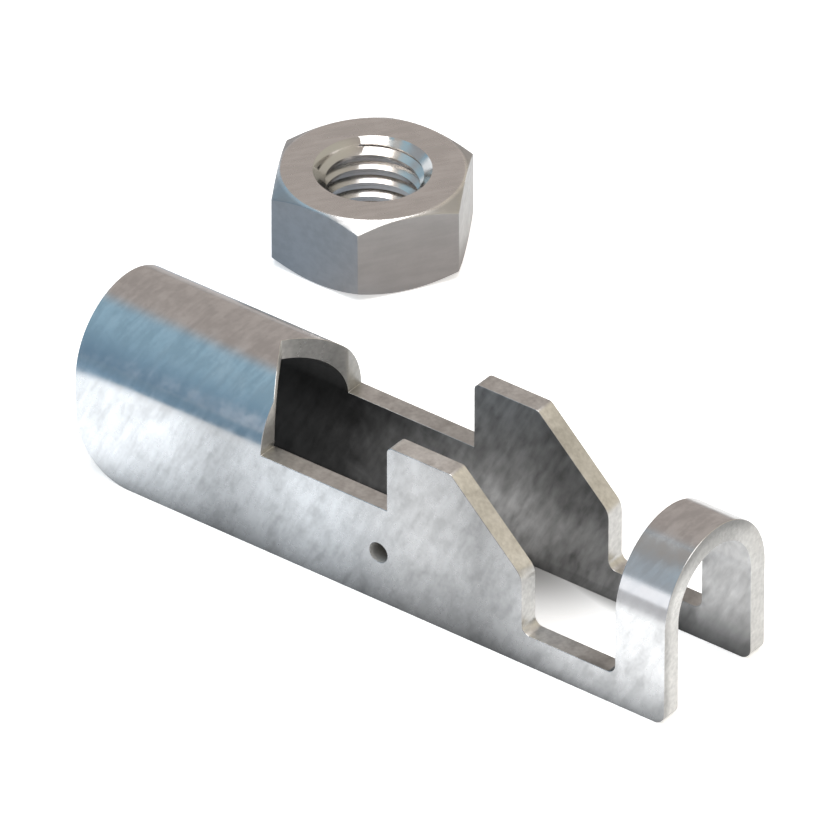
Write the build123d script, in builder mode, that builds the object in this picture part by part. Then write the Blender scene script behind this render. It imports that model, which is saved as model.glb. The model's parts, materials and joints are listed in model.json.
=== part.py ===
from build123d import *
import os
from math import cos, radians, tan

os.makedirs("parts", exist_ok=True)

# A toggle anchor for an M10 rod: a body folded from one sheet, and the hex nut that goes
# with it, standing on the floor behind. All sizes are in millimetres. The body lies along
# X with its hood at the low end, and its front wall faces -Y.

# The folded sheet
sheet = 2.0
rod_gap = 10.5  # between the walls, a close clearance on the rod
body_height = 16.85
wall_height = 9.9  # flat part of the walls, up to where the rounded back springs
low_wall_height = 3.2  # what is left of the walls beside the arch

# Lengths along the body, one after the other from the end of the hood
hood_length = 20.7
window_length = 14.0
ear_top_length = 7.0
ear_slope_length = 7.8
low_gap_length = 10.2
arch_length = 5.35

# The upright ears
ear_height = 16.65
ear_slope_height = 9.1  # where the slope ends and the heel drops to the low wall

# Corner radii, seen from the side
hood_corner = 5.8
ear_corner = 0.6
ear_heel = 1.8
low_corner = 0.9
arch_corner = 1.1

# The window runs into the hood in a V as wide as the gap between the walls
notch_depth = 3.3

# Small cross hole through both walls
pin_hole_diameter = 2.0
pin_hole_height = 5.1
pin_hole_setback = 0.95  # its centre, short of the ears

# The hex nut, M10: across flats, height, tapping bore and turned corners
nut_flats = 17.0
nut_height = 8.0
nut_bore = 8.5
nut_countersink = 1.125  # its depth, cut at 45 degrees
nut_ring_inset = 0.225  # from the flats in to the ring that the turned corners leave flat
nut_corner_angle = 30

# Where the nut stands
nut_clear = 21.4  # from the body's rear wall to the nearer flat
nut_shift = -1.25  # its axis along the body, from the end of the hood

# Stations along the body
window_end = hood_length + window_length
ear_top_end = window_end + ear_top_length
ear_end = ear_top_end + ear_slope_length
arch_start = ear_end + low_gap_length
body_length = arch_start + arch_length
body_width = rod_gap + 2 * sheet

# The nut's size over its corners, the flat ring on its faces, and its axis seen from the body
nut_corners = nut_flats / cos(radians(30))
nut_face = nut_flats - 2 * nut_ring_inset
nut_behind = body_width / 2 + nut_clear + nut_flats / 2

# The origin lies on the floor, in the middle of the ground that body and nut cover
set_left = min(0, nut_shift - nut_corners / 2)
set_right = max(body_length, nut_shift + nut_corners / 2)
set_front = -body_width / 2
set_back = nut_behind + nut_flats / 2
middle_x = (set_left + set_right) / 2
middle_y = (set_front + set_back) / 2

# Planes of the body, all from the foot of its hood end on its middle plane, and of the nut
body_foot = (-middle_x, -middle_y, 0)
body_floor = Plane(origin=body_foot, x_dir=(1, 0, 0), z_dir=(0, 0, 1))
body_side = Plane(origin=body_foot, x_dir=(1, 0, 0), z_dir=(0, -1, 0))
body_end = Plane(origin=body_foot, x_dir=(0, 1, 0), z_dir=(1, 0, 0))
nut_foot = (nut_shift - middle_x, nut_behind - middle_y, 0)
nut_floor = Plane(origin=nut_foot, x_dir=(1, 0, 0), z_dir=(0, 0, 1))
nut_side = Plane(origin=nut_foot, x_dir=(1, 0, 0), z_dir=(0, -1, 0))


with BuildPart() as toggle_body:
    # One flat wall in its side outline, with the ear standing up from it
    wall_corners = [
        ((0, 0), hood_corner),
        ((body_length, 0), arch_corner),
        ((body_length, wall_height), 0),
        ((arch_start, wall_height), 0),
        ((arch_start, low_wall_height), low_corner),
        ((ear_end, low_wall_height), low_corner),
        ((ear_end, ear_slope_height), ear_heel),
        ((ear_top_end, ear_height), ear_corner),
        ((window_end, ear_height), ear_corner),
        ((window_end, wall_height), 0),
        ((0, wall_height), 0),
    ]
    with BuildSketch(body_side.offset(rod_gap / 2)):
        with BuildLine():
            FilletPolyline(
                [point for point, radius in wall_corners],
                radius=[radius for point, radius in wall_corners],
                close=True,
            )
        make_face()
    extrude(amount=sheet)
    mirror(about=body_side)

    # The rounded back joins the walls over the hood and again over the arch
    for start, length in ((0, hood_length), (arch_start, arch_length)):
        with BuildSketch(body_end.offset(start)):
            with BuildLine():
                ThreePointArc(
                    (-body_width / 2, wall_height), (0, body_height), (body_width / 2, wall_height)
                )
                Line((body_width / 2, wall_height), (rod_gap / 2, wall_height))
                ThreePointArc(
                    (rod_gap / 2, wall_height), (0, body_height - sheet), (-rod_gap / 2, wall_height)
                )
                Line((-rod_gap / 2, wall_height), (-body_width / 2, wall_height))
            make_face()
        extrude(amount=length)

    # V notch in the end of the hood, cut straight down; the triangle is drawn twice its
    # size, so that it runs clear of the hood
    with BuildSketch(body_floor.offset(wall_height)):
        with BuildLine():
            Polyline(
                (hood_length - notch_depth, 0),
                (hood_length + notch_depth, rod_gap),
                (hood_length + notch_depth, -rod_gap),
                close=True,
            )
        make_face()
    extrude(amount=body_height, mode=Mode.SUBTRACT)

    # Cross hole through both walls
    with Locations(body_side.offset(body_width / 2)):
        with Locations((window_end - pin_hole_setback, pin_hole_height)):
            Hole(pin_hole_diameter / 2, depth=body_width)

toggle_body.part.label = "toggle_body"
export_step(toggle_body.part, "parts/toggle_body.step")


with BuildPart() as hex_nut:
    with BuildSketch(nut_floor):
        RegularPolygon(nut_flats / 2, 6, major_radius=False)
    extrude(amount=nut_height)

    # The corners are turned back to a cone on both faces
    corner_drop = (nut_corners - nut_face) / 2 * tan(radians(nut_corner_angle))
    with BuildSketch(nut_side):
        with BuildLine():
            Polyline(
                (0, 0),
                (nut_face / 2, 0),
                (nut_corners / 2, corner_drop),
                (nut_corners / 2, nut_height - corner_drop),
                (nut_face / 2, nut_height),
                (0, nut_height),
                close=True,
            )
        make_face()
    revolve(axis=Axis(nut_foot, (0, 0, 1)), mode=Mode.INTERSECT)

    # Tapping bore, countersunk from both faces
    with Locations(nut_floor.offset(nut_height)):
        Hole(nut_bore / 2, depth=nut_height)
    bore_rims = hex_nut.edges().filter_by(GeomType.CIRCLE).sort_by(SortBy.RADIUS)[:2]
    chamfer(bore_rims, length=nut_countersink)

hex_nut.part.label = "hex_nut"
export_step(hex_nut.part, "parts/hex_nut.step")
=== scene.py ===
import json
from math import cos, pi, radians, sin, tan
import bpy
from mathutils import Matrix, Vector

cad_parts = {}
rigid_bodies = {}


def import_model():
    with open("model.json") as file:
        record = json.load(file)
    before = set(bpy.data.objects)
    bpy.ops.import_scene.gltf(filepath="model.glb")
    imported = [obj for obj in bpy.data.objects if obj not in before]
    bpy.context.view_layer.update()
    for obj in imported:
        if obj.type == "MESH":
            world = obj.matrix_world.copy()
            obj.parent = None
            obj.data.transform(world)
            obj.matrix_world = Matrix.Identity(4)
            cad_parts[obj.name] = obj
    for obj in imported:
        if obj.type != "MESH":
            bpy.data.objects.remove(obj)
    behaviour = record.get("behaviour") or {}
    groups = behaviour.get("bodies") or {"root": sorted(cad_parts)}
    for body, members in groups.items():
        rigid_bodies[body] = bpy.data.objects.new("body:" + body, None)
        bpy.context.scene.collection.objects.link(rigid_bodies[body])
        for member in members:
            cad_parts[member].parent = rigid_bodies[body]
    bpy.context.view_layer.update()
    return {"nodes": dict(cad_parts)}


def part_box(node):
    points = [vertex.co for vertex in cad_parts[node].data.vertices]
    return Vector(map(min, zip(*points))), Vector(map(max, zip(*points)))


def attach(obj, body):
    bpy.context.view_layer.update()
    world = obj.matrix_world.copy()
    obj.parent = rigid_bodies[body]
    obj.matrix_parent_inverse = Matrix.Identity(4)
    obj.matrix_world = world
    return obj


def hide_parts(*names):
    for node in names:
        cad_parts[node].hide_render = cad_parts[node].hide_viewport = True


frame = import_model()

from types import SimpleNamespace

import bmesh
import bpy
from mathutils import Vector

bodyLow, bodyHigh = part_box("toggle_body")
nutLow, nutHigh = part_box("hex_nut")
bodyMiddle = (bodyLow + bodyHigh) / 2
nutMiddle = (nutLow + nutHigh) / 2
mm = 0.001


# Shader sums written as plain expressions

class Wire:
    def __init__(self, sheet, socket):
        self.sheet = sheet
        self.socket = socket

    def math(self, operation, first, second=0.0):
        return self.sheet.node("ShaderNodeMath", {"operation": operation}, {0: first, 1: second})

    def __add__(self, other):
        return self.math("ADD", self, other)

    def __radd__(self, other):
        return self.math("ADD", other, self)

    def __sub__(self, other):
        return self.math("SUBTRACT", self, other)

    def __rsub__(self, other):
        return self.math("SUBTRACT", other, self)

    def __mul__(self, other):
        return self.math("MULTIPLY", self, other)

    def __rmul__(self, other):
        return self.math("MULTIPLY", other, self)

    def size(self):
        return self.math("ABSOLUTE", self)

    def most(self, other):
        return self.math("MAXIMUM", self, other)

    def step(self, low, high):  # 0 below low, 1 above high, a soft rise between
        return self.sheet.node(
            "ShaderNodeMapRange", {"interpolation_type": "SMOOTHSTEP"},
            {"Value": self, "From Min": low, "From Max": high},
        )

    def fall(self, low, high):  # 1 below low, 0 above high
        return 1 - self.step(low, high)

    def band(self, start, stop):  # rises over the pair start and falls over the pair stop
        return self.step(*start) * self.fall(*stop)


class Sheet:  # one node tree being filled
    def __init__(self, tree):
        self.tree = tree
        tree.nodes.clear()

    def node(self, kind, settings=None, sockets=None, out=0):
        made = self.tree.nodes.new(kind)
        for name, value in (settings or {}).items():
            if name == "stops":
                self.fillRamp(made.color_ramp, value)
            else:
                setattr(made, name, value)
        for name, value in (sockets or {}).items():
            if isinstance(value, Wire):
                self.tree.links.new(value.socket, made.inputs[name])
            else:
                made.inputs[name].default_value = value
        return Wire(self, made.outputs[out]) if len(made.outputs) else made

    def fillRamp(self, ramp, stops):
        while len(ramp.elements) < len(stops):
            ramp.elements.new(1.0)
        for element, (place, level) in zip(ramp.elements, stops):
            element.position = place
            element.color = (level, level, level, 1.0)

    def ramp(self, stops, factor):  # a number that follows the stops
        return self.node("ShaderNodeValToRGB", {"stops": stops}, {"Fac": factor})

    def mix(self, factor, first, second):  # colours
        return self.node(
            "ShaderNodeMix", {"data_type": "RGBA"}, {0: factor, 6: first, 7: second}, out=2
        )

    def paint(self, level, tint=(1.0, 1.0, 1.0, 1.0)):  # a tint made darker or lighter
        return self.node(
            "ShaderNodeVectorMath", {"operation": "SCALE"}, {0: tint[:3], "Scale": level}
        )

    def place(self, turn=(0, 0, 0), scale=(1, 1, 1), centre=(0, 0, 0)):
        where = self.node("ShaderNodeTexCoord", out="Object")
        moved = self.node(
            "ShaderNodeVectorMath", {"operation": "SUBTRACT"}, {0: where, 1: centre}
        )
        turned = self.node("ShaderNodeMapping", {}, {"Vector": moved, "Rotation": turn})
        return self.node("ShaderNodeMapping", {}, {"Vector": turned, "Scale": scale})

    def split(self, vector):  # its three numbers
        parts = self.node("ShaderNodeSeparateXYZ", {}, {"Vector": vector}).socket.node
        return [Wire(self, part) for part in parts.outputs]

    def measure(self, operation, first, second=(0, 0, 0)):  # a number from one or two vectors
        return self.node(
            "ShaderNodeVectorMath", {"operation": operation}, {0: first, 1: second}, out=1
        )

    def noise(self, where, scale, detail=3.0, rough=0.5, bend=0.0):
        return self.node(
            "ShaderNodeTexNoise", {},
            {"Vector": where, "Scale": scale, "Detail": detail, "Roughness": rough,
             "Distortion": bend},
        )

    def metal(self, colour, metallic, rough, height, look):
        bump = self.node(
            "ShaderNodeBump", {},
            {"Height": height, "Strength": look["bumpStrength"], "Distance": look["bumpDepth"]},
        )
        self.surface(self.node(
            "ShaderNodeBsdfPrincipled", {},
            {"Base Color": colour, "Metallic": metallic, "Roughness": rough, "Normal": bump},
        ))

    def surface(self, shader):
        self.node("ShaderNodeOutputMaterial", {}, {"Surface": shader})


def newMaterial(name):
    material = bpy.data.materials.new(name)
    material.use_nodes = True
    return material, Sheet(material.node_tree)


def grey(level, warm=0.0):  # a neutral colour, pushed a little to yellow or to blue
    return (level * (1 + warm), level, level * (1 - warm), 1.0)


# Meshes

meshing = dict(
    # Points closer than this are joined: in a CAD node's copy, after a roll or a spin, after a cut
    copyWeld=0.002 * mm,
    rollWeld=0.001 * mm,
    cutWeld=0.004 * mm,
    sliver=0.002 * mm,  # edges shorter than this go after a cut
    flatLimit=radians(0.4),  # faces closer in angle than this become one
    faceWeight=90,  # how far the large faces lead the shading of the edges between
)


def weld(bm, distance):
    bmesh.ops.remove_doubles(bm, verts=bm.verts, dist=distance)


def mergedCopy(nodeName):  # a CAD node's triangles, joined up and with its flat faces whole
    bm = bmesh.new()
    bm.from_mesh(frame["nodes"][nodeName].data)
    weld(bm, meshing["copyWeld"])
    bmesh.ops.dissolve_limit(
        bm, angle_limit=meshing["flatLimit"], use_dissolve_boundaries=False,
        verts=bm.verts, edges=bm.edges, delimit=set(),
    )
    return bm


def sharpEdges(bm, angle):
    return [e for e in bm.edges if e.is_manifold and e.calc_face_angle(0.0) > angle]


def rollEdges(bm, edges, look):
    bmesh.ops.bevel(
        bm, geom=edges, offset=look["rollWidth"], offset_type="OFFSET", affect="EDGES",
        segments=look["rollSteps"], profile=0.5, clamp_overlap=True, material=-1,
    )
    weld(bm, meshing["rollWeld"])


def addPiece(bm, name, material):
    mesh = bpy.data.meshes.new(name)
    bm.to_mesh(mesh)
    bm.free()
    piece = bpy.data.objects.new(name, mesh)
    bpy.context.scene.collection.objects.link(piece)
    piece.data.materials.append(material)
    return piece


def smoothShade(piece, sharpAngle):
    piece.data.shade_smooth()
    piece.data.set_sharp_from_angle(angle=sharpAngle)
    weighted = piece.modifiers.new("faceWeights", "WEIGHTED_NORMAL")
    weighted.keep_sharp = True
    weighted.weight = meshing["faceWeight"]


# Folded body

anchor = dict(
    sheet=2.0 * mm,
    bendHeight=9.9 * mm,  # where the flat walls end and the rounded back springs
    windowEnd=34.7 * mm,  # from the hood's end
    earEnd=49.5 * mm,
    earMargin=0.1 * mm,
    facingLimit=0.5,  # a face that looks more outward than this is the outside
    sharpAngle=radians(35),  # edges at least this sharp are rolled over by the punch
    rollWidth=0.26 * mm,
    rollSteps=3,
    smoothAngle=radians(50),

    # The noises in the zinc, and how far two of them are drawn out, tilted as seen from the side
    streakTilt=radians(-27),
    mottleScale=950,
    mottleDrawn=0.45,
    streakScale=1500,
    streakDrawn=0.2,
    fleckScale=2400,
    cloudScale=380,
    grainScale=5200,
    driftSpan=(0.40, 0.60),  # the middle range of a noise, over which the back's tone drifts
    roughSpan=(0.35, 0.65),  # and the roughness rises
    bumpStrength=0.06,
    bumpDepth=0.04 * mm,

    wallZinc=[(0.38, 0.60), (0.50, 0.76), (0.62, 0.88)],  # from dark mottles to light ones
    wallTint=(0.96, 1.0, 1.04, 1.0),
    earTint=(0.99, 1.0, 1.012, 1.0),
    bendZinc=grey(0.76),
    bendDark=grey(0.62),
    # painted highlight: the far side of the rounded back is painted white
    bendFarHighlight=grey(1.0),
    cutZinc=(0.98, 0.97, 0.94, 1.0),

    # Painted light and shade: how bright the walls, the cut edges and the inside are painted along
    # the body
    wallPaintedLight=[(0.0, 1.25), (0.15, 1.20), (0.245, 0.72), (0.30, 0.80), (0.40, 1.0), (0.44, 0.97),
              (0.49, 0.80), (0.58, 0.82), (0.65, 0.68), (0.69, 0.54), (0.74, 0.64), (0.82, 0.90),
              (0.88, 1.18)],
    cutPaintedLight=[(0.25, 0.75), (0.28, 0.42), (0.31, 0.42), (0.34, 0.66), (0.52, 0.56), (0.54, 0.68),
             (0.64, 0.73), (0.67, 0.58), (0.77, 0.72), (0.80, 0.80), (0.89, 0.40), (0.92, 0.70)],
    insidePaintedShade=[(0.0, 0.02), (0.32, 0.05), (0.38, 0.12), (0.45, 0.24), (0.50, 0.44), (0.56, 0.55),
               (0.62, 0.54), (0.68, 0.42), (0.74, 0.38), (0.77, 0.33), (0.86, 0.30), (0.92, 0.84)],

    # And the painted light and shade up from the floor, darkest at the foot, as shares of these two
    # heights
    footReach=12 * mm,
    footPaintedShade=[(0.0, 0.28), (0.06, 0.38), (0.17, 0.54), (0.33, 0.73), (0.50, 0.88), (0.67, 1.0)],
    innerReach=16 * mm,
    insideFootPaintedLight=[(0.0, 0.30), (0.035, 0.55), (0.08, 0.98), (0.24, 1.15), (0.35, 1.25), (0.52, 0.88),
               (0.65, 0.76), (0.95, 0.70)],

    # Soft steps along the body, as shares of its length
    earStart=(0.40, 0.45),
    earStop=(0.80, 0.85),
    archStart=(0.82, 0.90),
    hoodFoot=(0.04, 0.14),  # the shade at the foot is lower before here
    railFoot=(0.62, 0.80),  # and after here
    hoodMottles=(0.06, 0.24),  # the mottles are weaker before here
    hoodStreaks=(0.25, 0.42),  # and the streaks are stronger
    tintChange=(0.42, 0.60),
    notchStop=(0.32, 0.35),
    holeStart=(0.495, 0.50),
    holeStop=(0.54, 0.545),
    innerChange=(0.62, 0.70),

    # Soft steps up from the floor, and the first from the bend height
    bendRise=(-0.2 * mm, 2.2 * mm),
    driftRise=(13 * mm, 15.5 * mm),
    shoulderRise=(14.6 * mm, 15.4 * mm),
    notchRise=(10.1 * mm, 10.8 * mm),
    notchLight=(11.5 * mm, 15 * mm),
    holeFoot=(2 * mm, 3 * mm),
    holeHead=(7 * mm, 8 * mm),
    archRise=(12.5 * mm, 16 * mm),

    # Soft steps across the body, from its middle plane to the rear
    nearSide=(-4 * mm, 3 * mm),
    farSide=(2.5 * mm, 6.5 * mm),
    shoulderSide=(-3 * mm, -1.5 * mm),
    holeDepth=(5.2 * mm, 7.2 * mm),

    # The outer rim of the arch's cut face, about the line where its inner curve is centred
    rimCentre=9.5 * mm,
    rimReach=(6.2 * mm, 7.1 * mm),
    rimSide=(3 * mm, 6 * mm),
)


def markZones(bm, look):  # tells the outside of the sheet, its inside and its cut edges apart
    inner = bm.faces.layers.float.new("innerFace")
    cut = bm.faces.layers.float.new("cutFace")
    halfWidth = (bodyHigh.y - bodyLow.y) / 2
    rise = bodyHigh.z - look["bendHeight"]
    backCentre = bodyHigh.z - (halfWidth ** 2 + rise ** 2) / (2 * rise)
    earStart = look["windowEnd"] - look["earMargin"]
    earStop = look["earEnd"] + look["earMargin"]
    limit = look["facingLimit"]
    bm.normal_update()
    for face in bm.faces:
        middle = face.calc_center_median()
        inEar = earStart < middle.x - bodyLow.x < earStop
        side = middle.y - bodyMiddle.y
        lift = 0 if inEar else max(0, middle.z - backCentre)
        outward = face.normal.dot(Vector((0, side, lift)).normalized())
        face[inner] = 1.0 if outward < -limit else 0.0
        face[cut] = 1.0 if -limit <= outward < limit else 0.0


def findZones(sheet, look):  # where a point of the body lies, and soft masks from 0 to 1
    where = sheet.place(centre=(bodyLow.x, bodyMiddle.y, 0))
    along, across, up = sheet.split(where)
    share = along * (1 / (bodyHigh.x - bodyLow.x))
    atArch = share.step(*look["archStart"])
    onEar = share.band(look["earStart"], look["earStop"])
    onBend = (up - look["bendHeight"]).step(*look["bendRise"]) * (1 - onEar)
    inHole = share.band(look["holeStart"], look["holeStop"])
    lowered = share.fall(*look["hoodFoot"]) * 1.2 + share.step(*look["railFoot"]) * 0.8
    lowered = lowered - atArch * 0.5
    return SimpleNamespace(
        where=where, across=across, up=up, share=share, atArch=atArch, onBend=onBend,
        nearSide=across.fall(*look["nearSide"]),
        farSide=onBend * across.step(*look["farSide"]),
        inNotch=share.fall(*look["notchStop"]) * up.step(*look["notchRise"]),
        inHole=inHole * up.band(look["holeFoot"], look["holeHead"]),
        # painted shade up from the floor, lower at the hood's end and along the rails
        foot=sheet.ramp(look["footPaintedShade"], up * (1 / look["footReach"]) * (lowered + 1)),
        inner=sheet.node("ShaderNodeAttribute", {"attribute_name": "innerFace"}, out="Fac"),
        cut=sheet.node("ShaderNodeAttribute", {"attribute_name": "cutFace"}, out="Fac"),
    )


def zincNoises(sheet, look, where):
    # Soft mottles drawn out into streaks that run round the fold, over wider clouds
    def drawn(narrow):
        return sheet.place(turn=(0, look["streakTilt"], 0), scale=(1.0, narrow, narrow))

    mottle = sheet.noise(drawn(look["mottleDrawn"]), look["mottleScale"], bend=0.3)
    flecks = sheet.noise(where, look["fleckScale"], detail=2)
    clouds = sheet.noise(where, look["cloudScale"], detail=2, bend=0.5)
    return SimpleNamespace(
        mottle=mottle, flecks=flecks, clouds=clouds,
        streaks=sheet.noise(drawn(look["streakDrawn"]), look["streakScale"], bend=0.2),
        grain=sheet.noise(where, look["grainScale"], detail=2, rough=0.6),
        pattern=mottle * 0.50 + flecks * 0.15 + clouds * 0.35,
    )


def wallColour(sheet, look, zone, noise):
    mottled = zone.share.step(*look["hoodMottles"]) * 0.3 + 0.5
    streaked = zone.share.fall(*look["hoodStreaks"]) * 0.12 + 0.2
    level = (noise.pattern - 0.5) * mottled + (noise.streaks - 0.5) * streaked + 0.5
    # Painted light and shade: the wall's tone along the body, times the painted shade at its foot
    tone = sheet.ramp(look["wallPaintedLight"], zone.share) * zone.foot
    level = sheet.ramp(look["wallZinc"], level) * tone
    return sheet.mix(
        zone.share.step(*look["tintChange"]),
        sheet.paint(level, look["wallTint"]), sheet.paint(level, look["earTint"]),
    )


def backColour(sheet, look, zone, noise):
    drift = (noise.pattern * 0.7 + noise.streaks * 0.3).step(*look["driftSpan"]) - 0.5
    drift = drift * (zone.up.step(*look["driftRise"]) * 0.65 + 0.35) + 0.5
    # Painted shade: the arch's back is painted darker on its near shoulder
    shoulder = zone.up.step(*look["shoulderRise"]) * zone.across.fall(*look["shoulderSide"])
    drift = drift - zone.atArch * shoulder * 0.8
    near = sheet.mix(drift, look["bendDark"], look["bendZinc"])
    # Painted highlight: the far side of the back is painted white
    return sheet.mix(zone.farSide, near, look["bendFarHighlight"])


def cutColour(sheet, look, zone, noise):
    level = sheet.ramp(look["cutPaintedLight"], zone.share)
    level = level * (noise.flecks * 0.4 + noise.pattern * 0.8 + 0.4)

    # Painted light and shade: the near side is painted lighter, and at the notch darker at its foot
    # than at its top
    atNotch = zone.inNotch * (zone.up.step(*look["notchLight"]) * 0.9 - 0.55)
    level = level * (zone.nearSide * (atNotch + 0.12) + 0.94)

    # Painted shade: the cross hole is painted darker deeper in
    hole = zone.across.size().step(*look["holeDepth"]) * 0.40 + 0.03
    level = level + (hole - level) * zone.inHole

    # Painted shade: the arch is painted darker towards its top and along its outer rim
    lift = (zone.up - look["rimCentre"]).most(0.0)
    outward = sheet.node("ShaderNodeCombineXYZ", {}, {"Y": zone.across, "Z": lift})
    rim = sheet.measure("LENGTH", outward).step(*look["rimReach"])
    rim = rim * zone.across.fall(*look["rimSide"])
    level = level * (1 - zone.atArch * zone.up.step(*look["archRise"]) * 0.45)
    level = level * (1 - zone.atArch * rim * 0.3)
    return sheet.paint(level, look["cutZinc"])


def insideColour(sheet, look, zone, noise):
    # Painted shade: the inside is painted darkest in the hood and darker at its foot, with a lighter
    # band above the foot; at the arch it takes the walls' painted foot shade
    level = sheet.ramp(look["insidePaintedShade"], zone.share + (noise.clouds - 0.5) * 0.10)
    foot = sheet.ramp(look["insideFootPaintedLight"], zone.up * (1 / look["innerReach"]))
    foot = foot + (foot.most(0.8) * 0.8 - foot) * zone.share.step(*look["innerChange"])
    archFoot = zone.foot * zone.foot.most(0.5)
    level = level * (foot + (archFoot - foot) * zone.atArch)
    marks = noise.mottle * 1.2 + noise.clouds * 0.6 + noise.streaks * 0.8 - 1.3
    return sheet.paint(level * (marks * (1 - zone.atArch * 0.4) + 1))


def makeZinc(look):
    material, sheet = newMaterial("hotDippedZinc")
    zone = findZones(sheet, look)
    noise = zincNoises(sheet, look, zone.where)
    given = (sheet, look, zone, noise)
    colour = sheet.mix(zone.onBend, wallColour(*given), backColour(*given))
    colour = sheet.mix(zone.cut, colour, cutColour(*given))
    colour = sheet.mix(zone.inner, colour, insideColour(*given))

    # The notch's near end and the cross hole are rough and dull
    matt = zone.cut * (zone.nearSide * zone.inNotch).most(zone.inHole)
    rough = noise.pattern.step(*look["roughSpan"]) * 0.08 + 0.22 + zone.inner * 0.22 + zone.cut * 0.10
    rough = rough - zone.onBend * 0.12 + zone.farSide * 0.25 + matt * 0.3
    height = noise.mottle * 0.35 + noise.flecks * 0.25 + noise.grain * 0.40
    sheet.metal(colour, 1 - matt * 0.8, rough, height, look)
    return material


def makeBody(look):
    bm = mergedCopy("toggle_body")
    rollEdges(bm, sharpEdges(bm, look["sharpAngle"]), look)
    markZones(bm, look)
    piece = addPiece(bm, "foldedBody", makeZinc(look))
    smoothShade(piece, look["smoothAngle"])
    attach(piece, "root")
    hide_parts("toggle_body")
    print("folded body:", len(piece.data.polygons), "faces")


makeBody(anchor)


# Threaded nut

nut = dict(
    boreRadius=4.265 * mm,
    sinkDepth=1.125 * mm,  # of the countersinks, cut at 45 degrees
    reamerClear=0.5 * mm,
    pitch=1.5 * mm,
    majorRadius=4.88 * mm,
    tapStart=4.0 * mm,  # the cutter's ridge begins inside the bore
    tapLead=1.5,  # turns of the ridge below the nut, and as many above
    rootFlat=0.30 * mm,
    flankAngle=radians(37),  # a little open, as the worn edges of the thread look
    stepsPerTurn=72,
    sharpAngle=radians(20),
    outsideRadius=6 * mm,  # edges farther out than this are on the outside
    rollWidth=0.12 * mm,
    rollSteps=2,
    smoothAngle=radians(24),

    # The noises in the steel, and its brush strokes, turned about the axis and drawn out
    strokeTurn=radians(35),
    strokeDrawn=0.16,
    strokeScale=1500,
    cloudScale=260,
    grainScale=3400,
    lightSpan=(0.35, 0.65),  # the middle range of the noise, over which the tone changes
    roughSpan=(0.3, 0.7),  # and the roughness rises
    bumpStrength=0.06,
    bumpDepth=0.03 * mm,

    # Painted light and shade: the top faces are painted lighter than the flats
    topSteel=grey(0.80, 0.01),
    topLight=grey(0.66, 0.02),
    flatSteelShaded=grey(0.50),
    flatMottleShaded=grey(0.44),
    boreShadedSide=grey(0.50, -0.02),  # painted light and shade: the bore is painted darker on one side, paler on the other
    boreLitSide=grey(0.80, 0.08),
    litSideTurn=radians(38),  # where the pale, painted-lit side lies, about the axis

    # Soft steps: out from the axis, up to the two faces, and towards the painted-lit pale side
    boreReach=(5.35 * mm, 5.45 * mm),
    faceRise=(-0.25 * mm, -0.05 * mm),
    litSideRise=(-4 * mm, 4 * mm),
)


def makeReamer(look):  # a round cutter with the bore's outline, which leaves its walls smooth
    clear, sink, bore = look["reamerClear"], look["sinkDepth"], look["boreRadius"]
    rim = bore + sink + clear
    low, high = nutLow.z, nutHigh.z
    outline = [
        (0, low - clear), (rim, low - clear), (bore, low + sink),
        (bore, high - sink), (rim, high + clear), (0, high + clear),
    ]
    bm = bmesh.new()
    corners = [bm.verts.new((nutMiddle.x + out, nutMiddle.y, level)) for out, level in outline]
    edges = [bm.edges.new(pair) for pair in zip(corners, corners[1:])]
    bmesh.ops.spin(
        bm, geom=[*corners, *edges], cent=nutMiddle, axis=(0, 0, 1), dvec=(0, 0, 0),
        angle=2 * pi, steps=look["stepsPerTurn"] * 2, use_merge=True, use_duplicate=False,
    )
    weld(bm, meshing["rollWeld"])
    bmesh.ops.recalc_face_normals(bm, faces=bm.faces)
    return bm


def makeTap(look):  # one long ridge, wound right-handed through the bore and out of both ends
    pitch, turnSteps, lead = look["pitch"], look["stepsPerTurn"], look["tapLead"]
    tapStart, majorRadius = look["tapStart"], look["majorRadius"]
    halfRoot = look["rootFlat"] / 2
    halfFoot = halfRoot + (majorRadius - tapStart) * tan(look["flankAngle"])
    outline = [
        (tapStart, -halfFoot), (majorRadius, -halfRoot),
        (majorRadius, halfRoot), (tapStart, halfFoot),
    ]
    bm = bmesh.new()
    start = bm.faces.new([
        bm.verts.new((nutMiddle.x + out, nutMiddle.y, nutLow.z - pitch * lead + rise))
        for out, rise in outline
    ])
    steps = int(((nutHigh.z - nutLow.z) / pitch + 2 * lead) * turnSteps)
    bmesh.ops.spin(
        bm, geom=[start, *start.edges, *start.verts], cent=nutMiddle, axis=(0, 0, 1),
        dvec=(0, 0, pitch / turnSteps), angle=steps * 2 * pi / turnSteps, steps=steps,
        use_merge=False, use_duplicate=False,
    )
    bmesh.ops.recalc_face_normals(bm, faces=bm.faces)
    return bm


def cutAway(piece, cutter):
    cutting = piece.modifiers.new("cut", "BOOLEAN")
    cutting.operation = "DIFFERENCE"
    cutting.solver = "EXACT"
    cutting.object = cutter
    bpy.context.view_layer.update()
    shaped = bpy.data.meshes.new_from_object(
        piece.evaluated_get(bpy.context.evaluated_depsgraph_get())
    )
    bm = bmesh.new()
    bm.from_mesh(shaped)
    weld(bm, meshing["cutWeld"])
    bmesh.ops.dissolve_degenerate(bm, edges=bm.edges, dist=meshing["sliver"])
    bm.to_mesh(shaped)
    bm.free()
    piece.modifiers.clear()
    piece.data = shaped
    bpy.data.objects.remove(cutter)


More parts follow.
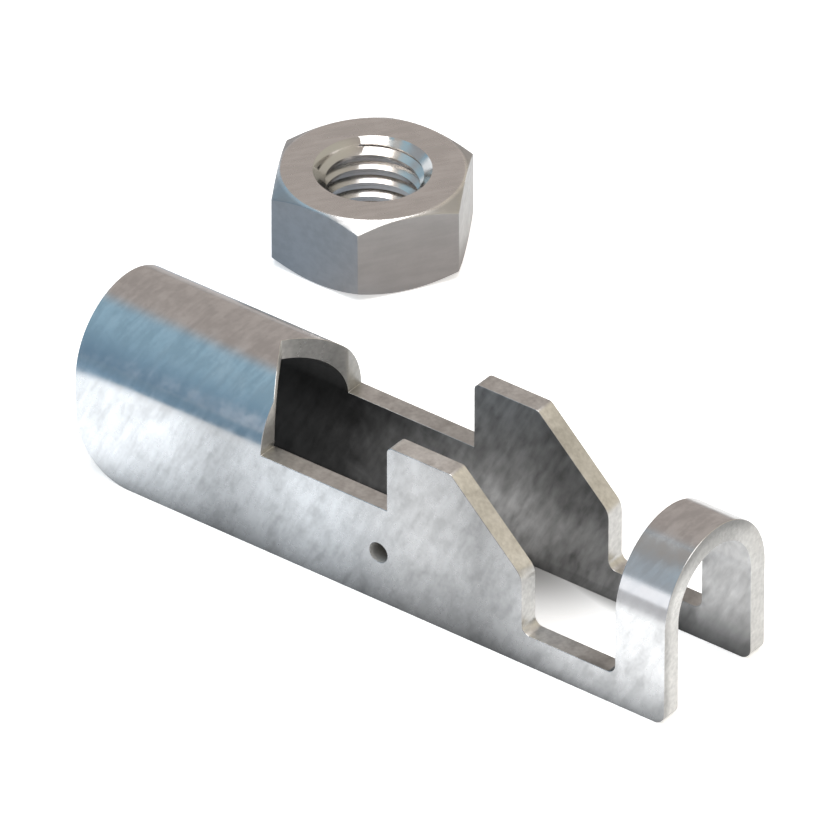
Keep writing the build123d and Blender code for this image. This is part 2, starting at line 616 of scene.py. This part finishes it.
def makeSteel(look):
    material, sheet = newMaterial("nutZinc")
    where = sheet.place(centre=tuple(nutMiddle))
    level = sheet.place(scale=(1, 1, 0), centre=tuple(nutMiddle))
    brushed = sheet.place(turn=(0, 0, look["strokeTurn"]), scale=(1.0, look["strokeDrawn"], 1.0))
    halfHeight = (nutHigh.z - nutLow.z) / 2
    onFace = (sheet.split(where)[2].size() - halfHeight).step(*look["faceRise"])
    inBore = sheet.measure("LENGTH", level).fall(*look["boreReach"])
    # Painted light and shade: one side of the bore is painted paler than the other
    paleWay = (cos(look["litSideTurn"]), sin(look["litSideTurn"]), 0)
    pale = sheet.measure("DOT_PRODUCT", where, paleWay).step(*look["litSideRise"])

    strokes = sheet.noise(brushed, look["strokeScale"])
    clouds = sheet.noise(where, look["cloudScale"], rough=0.55, bend=0.5)
    grain = sheet.noise(where, look["grainScale"], detail=2)
    pattern = strokes * 0.52 + clouds * 0.38 + grain * 0.1
    light = pattern.step(*look["lightSpan"])
    # Painted light and shade: the top faces lighter, the flats darker
    face = sheet.mix(light, look["topSteel"], look["topLight"])
    flat = sheet.mix(light, look["flatSteelShaded"], look["flatMottleShaded"])
    bore = sheet.mix(pale, look["boreShadedSide"], look["boreLitSide"])
    colour = sheet.mix(inBore, sheet.mix(onFace, flat, face), bore)
    rough = pattern.step(*look["roughSpan"]) * 0.12 + 0.30 - onFace * 0.10 - inBore * 0.16
    sheet.metal(colour, 1.0, rough, strokes * 0.7 + grain * 0.3, look)
    return material


def makeNut(look):
    material = makeSteel(look)
    bm = mergedCopy("hex_nut")
    outside = [
        e for e in sharpEdges(bm, look["sharpAngle"])
        if ((e.verts[0].co + e.verts[1].co) / 2 - nutMiddle).to_2d().length > look["outsideRadius"]
    ]
    rollEdges(bm, outside, look)
    piece = addPiece(bm, "threadedNut", material)
    cutAway(piece, addPiece(makeReamer(look), "reamer", material))
    cutAway(piece, addPiece(makeTap(look), "tap", material))
    smoothShade(piece, look["smoothAngle"])
    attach(piece, "root")
    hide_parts("hex_nut")
    print("threaded nut:", len(piece.data.polygons), "faces")


makeNut(nut)


# Floor, cards, sky and lamp

def turnTo(thing, place, faces, axis):  # puts a thing in its place, its axis towards a point
    thing.location = place
    thing.rotation_mode = "QUATERNION"
    thing.rotation_quaternion = (Vector(faces) - Vector(place)).to_track_quat(axis, "Y")


floor = dict(
    reach=1.6,
    white=(1.0, 0.998, 0.992, 1.0),
    glow=0.50,  # what the floor gives by itself, so that it shows white with soft shadows

    # The floor as the metal mirrors it: pale under the anchor, darker beyond its left and front
    mirroredPale=(0.70, 0.70, 0.70, 1.0),
    mirroredCool=(0.27, 0.315, 0.37, 1.0),
    mirroredWarm=(0.39, 0.365, 0.355, 1.0),
    beyondLeft=(0.21, 0.33, 0.44, 1.0),
    beyondRight=(0.64, 0.64, 0.66, 1.0),
    leftEdge=(-43 * mm, -35 * mm),
    frontEdge=(-57 * mm, -49 * mm),
    frontSide=(-12 * mm, -4 * mm),
    archSide=(15 * mm, 40 * mm),
    archSlant=0.6,

    # Duller ground in front of the nut and on both sides of it, and behind the hood
    nutReach=(22 * mm, 27 * mm),
    nutRear=(20 * mm, 26 * mm),
    nutTurn=(-34 * mm, -18 * mm),
    hoodRear=(-38 * mm, -30 * mm),

    # Shade at the foot of the rear wall, a soft one and a close one: steps from that wall's
    # inner face and from the hood's end
    hollowShade=(0.16, 0.155, 0.15, 1.0),
    softAcross=(-12 * mm, -0.5 * mm),
    softStop=(40 * mm, 57 * mm),
    closeAcross=(-3 * mm, 0.5 * mm),
    closeStop=(50 * mm, 60 * mm),
    closeShare=0.85,
    shadeStart=(20 * mm, 30 * mm),
    shadeRear=(0.6 * mm, 1.4 * mm),
)


def mirroredGround(sheet, look, where, along, across, inFront):
    nutFoot = (nutMiddle.x, nutMiddle.y, 0)
    nearNut = sheet.measure("DISTANCE", where, nutFoot).fall(*look["nutReach"])
    nearNut = nearNut * across.fall(*look["nutRear"])
    besideNut = sheet.mix(
        along.step(*look["nutTurn"]), look["mirroredCool"], look["mirroredWarm"]
    )
    behindHood = along.fall(*look["hoodRear"]) * (1 - inFront)
    ground = sheet.mix(behindHood, look["mirroredPale"], look["mirroredWarm"])
    return sheet.mix(nearNut, ground, besideNut)


def wallShade(look, along, across):
    fromHood = along - bodyLow.x
    fromWall = across - (bodyHigh.y - anchor["sheet"])
    soft = fromWall.step(*look["softAcross"]) * fromHood.fall(*look["softStop"])
    close = fromWall.step(*look["closeAcross"]) * fromHood.fall(*look["closeStop"])
    shade = soft.most(close * look["closeShare"]) * fromHood.step(*look["shadeStart"])
    return shade * fromWall.fall(*look["shadeRear"])


def makeFloor(look):
    material, sheet = newMaterial("paleFloor")
    where = sheet.place()
    along, across = sheet.split(where)[:2]
    inFront = across.fall(*look["frontSide"])
    glossy = sheet.node("ShaderNodeLightPath", out="Is Glossy Ray")
    mirrored = mirroredGround(sheet, look, where, along, across, inFront)
    paint = sheet.mix(glossy, look["white"], mirrored)
    paint = sheet.mix(wallShade(look, along, across), paint, look["hollowShade"])
    matt = sheet.node("ShaderNodeBsdfDiffuse", {}, {"Color": paint})
    glow = sheet.node("ShaderNodeEmission", {}, {"Color": paint, "Strength": look["glow"]})
    both = sheet.node("ShaderNodeAddShader", {}, {0: matt, 1: glow})

    toRight = (along - across * look["archSlant"]).step(*look["archSide"])
    far = sheet.mix(toRight, look["beyondLeft"], look["beyondRight"])
    beyond = sheet.node("ShaderNodeEmission", {}, {"Color": far})
    isFar = (along.fall(*look["leftEdge"]) * inFront).most(across.fall(*look["frontEdge"]))
    sheet.surface(
        sheet.node("ShaderNodeMixShader", {}, {0: isFar * glossy, 1: both, 2: beyond})
    )
    bm = bmesh.new()
    bmesh.ops.create_grid(bm, x_segments=1, y_segments=1, size=look["reach"])
    addPiece(bm, "floor", material)


makeFloor(floor)

# Cards off to one side, seen only by reflection: a bright one and a grey one over it for the
# arch, and a grey one and a small bright one for the nut's bore. A card runs from -0.5 to 0.5
# on its own axes, and shows between the soft steps given for an axis.
cards = dict(
    frontCard=dict(
        place=(-0.118, -0.282, 0.075), size=(0.06, 0.16), faces=(0, 0, 0),
        colour=(1.30, 1.31, 1.36, 1.0),
        shows={1: ((-0.5, -0.38), (0.02, 0.5))},
    ),
    upperCard=dict(
        place=(-0.088, -0.148, 0.166), size=(0.052, 0.31), faces=(-0.088, -0.019, 0.013),
        colour=(0.45, 0.49, 0.53, 1.0), topColour=(0.46, 0.435, 0.415, 1.0), turn=(-0.1, 0.2),
        shows={1: ((-0.45, -0.30), (0.46, 0.5))},
    ),
    sideCard=dict(
        place=(-0.136, -0.030, 0.078), size=(0.08, 0.085), faces=tuple(nutMiddle),
        colour=(0.30, 0.33, 0.37, 1.0),
        shows={0: ((-0.5, -0.28), (0.28, 0.5)), 1: ((-0.5, -0.28), (0.28, 0.5))},
    ),
    glintCard=dict(
        place=(-0.122, 0.034, 0.022), size=(0.05, 0.045), faces=tuple(nutMiddle),
        colour=(0.85, 0.95, 1.05, 1.0),
        shows={0: ((-0.5, -0.28), (0.28, 0.5)), 1: ((-0.5, -0.28), (0.28, 0.5))},
    ),
)


def makeCard(name, look):
    material, sheet = newMaterial(name)
    axes = sheet.split(sheet.place())
    colour = look["colour"]
    if "topColour" in look:
        colour = sheet.mix(axes[1].step(*look["turn"]), colour, look["topColour"])
    shown = 1.0
    for axis, (start, stop) in look["shows"].items():
        shown = axes[axis].band(start, stop) * shown
    glow = sheet.node("ShaderNodeEmission", {}, {"Color": colour})
    clear = sheet.node("ShaderNodeBsdfTransparent")
    sheet.surface(sheet.node("ShaderNodeMixShader", {}, {0: shown, 1: clear, 2: glow}))
    bm = bmesh.new()
    bmesh.ops.create_grid(bm, x_segments=1, y_segments=1, size=0.5)
    card = addPiece(bm, name, material)
    card.scale = (*look["size"], 1.0)
    turnTo(card, look["place"], look["faces"], "Z")
    card.visible_camera = card.visible_diffuse = card.visible_shadow = False


for cardName, cardLook in cards.items():
    makeCard(cardName, cardLook)

sky = dict(
    seen=(1.0, 1.0, 1.0, 1.0),
    warm=(0.47, 0.42, 0.39, 1.0),
    beige=(0.80, 0.73, 0.60, 1.0),
    coolLow=(0.18, 0.30, 0.42, 1.0),
    coolHigh=(0.33, 0.51, 0.64, 1.0),
    beigeWay=(0.8, 0.6, 0),  # the dome turns beige this way, and cool the other
    beigeRise=(0.2, 0.9),
    coolWay=(-0.75, -0.65, 0),
    coolRise=(0.28, 0.52),
    heightRise=(0.0, 0.8),
)


def makeSky(look):
    world = bpy.data.worlds.new("studioDome")
    bpy.context.scene.world = world
    world.use_nodes = True
    sheet = Sheet(world.node_tree)
    ray = sheet.node("ShaderNodeTexCoord", out="Generated")
    height = sheet.split(ray)[2].step(*look["heightRise"])
    cool = sheet.mix(height, look["coolLow"], look["coolHigh"])
    toRear = sheet.measure("DOT_PRODUCT", ray, look["beigeWay"]).step(*look["beigeRise"])
    warm = sheet.mix(toRear, look["warm"], look["beige"])
    toFront = sheet.measure("DOT_PRODUCT", ray, look["coolWay"]).step(*look["coolRise"])
    dome = sheet.mix(toFront, warm, cool)
    toCamera = sheet.node("ShaderNodeLightPath", out="Is Camera Ray")
    colour = sheet.mix(toCamera, dome, look["seen"])
    background = sheet.node("ShaderNodeBackground", {}, {"Color": colour, "Strength": 1.0})
    sheet.node("ShaderNodeOutputWorld", {}, {"Surface": background})


makeSky(sky)

overhead = dict(place=(0.055, -0.085, 0.50), size=(0.38, 0.38), power=1.8, faces=(0, 0, 0))


def makeLamp(look):
    lamp = bpy.data.lights.new("overheadBox", "AREA")
    lamp.shape = "RECTANGLE"
    lamp.size, lamp.size_y = look["size"]
    lamp.energy = look["power"]
    holder = bpy.data.objects.new("overheadBox", lamp)
    bpy.context.scene.collection.objects.link(holder)
    turnTo(holder, look["place"], look["faces"], "-Z")


makeLamp(overhead)
print("studio ready")


# Camera

viewpoint = dict(
    azimuth=radians(37.629),
    elevation=radians(34.188),
    distance=1.6506,
    aim=(3.795 * mm, -16.629 * mm, 12.600 * mm),
    focal=807.67,  # millimetres, on a sensor 36 wide
    sensor=36.0,
    clip=(0.1, 10.0),
)


def makeCamera(look):
    camera = bpy.data.cameras.new("photoView")
    camera.lens = look["focal"]
    camera.sensor_width = look["sensor"]
    camera.clip_start, camera.clip_end = look["clip"]
    holder = bpy.data.objects.new("photoView", camera)
    bpy.context.scene.collection.objects.link(holder)
    level, lift = look["azimuth"], look["elevation"]
    back = Vector((sin(level) * cos(lift), -cos(level) * cos(lift), sin(lift)))
    turnTo(holder, Vector(look["aim"]) + back * look["distance"], look["aim"], "-Z")
    bpy.context.scene.camera = holder


makeCamera(viewpoint)
bpy.context.scene.view_settings.view_transform = "Standard"
print("camera ready")
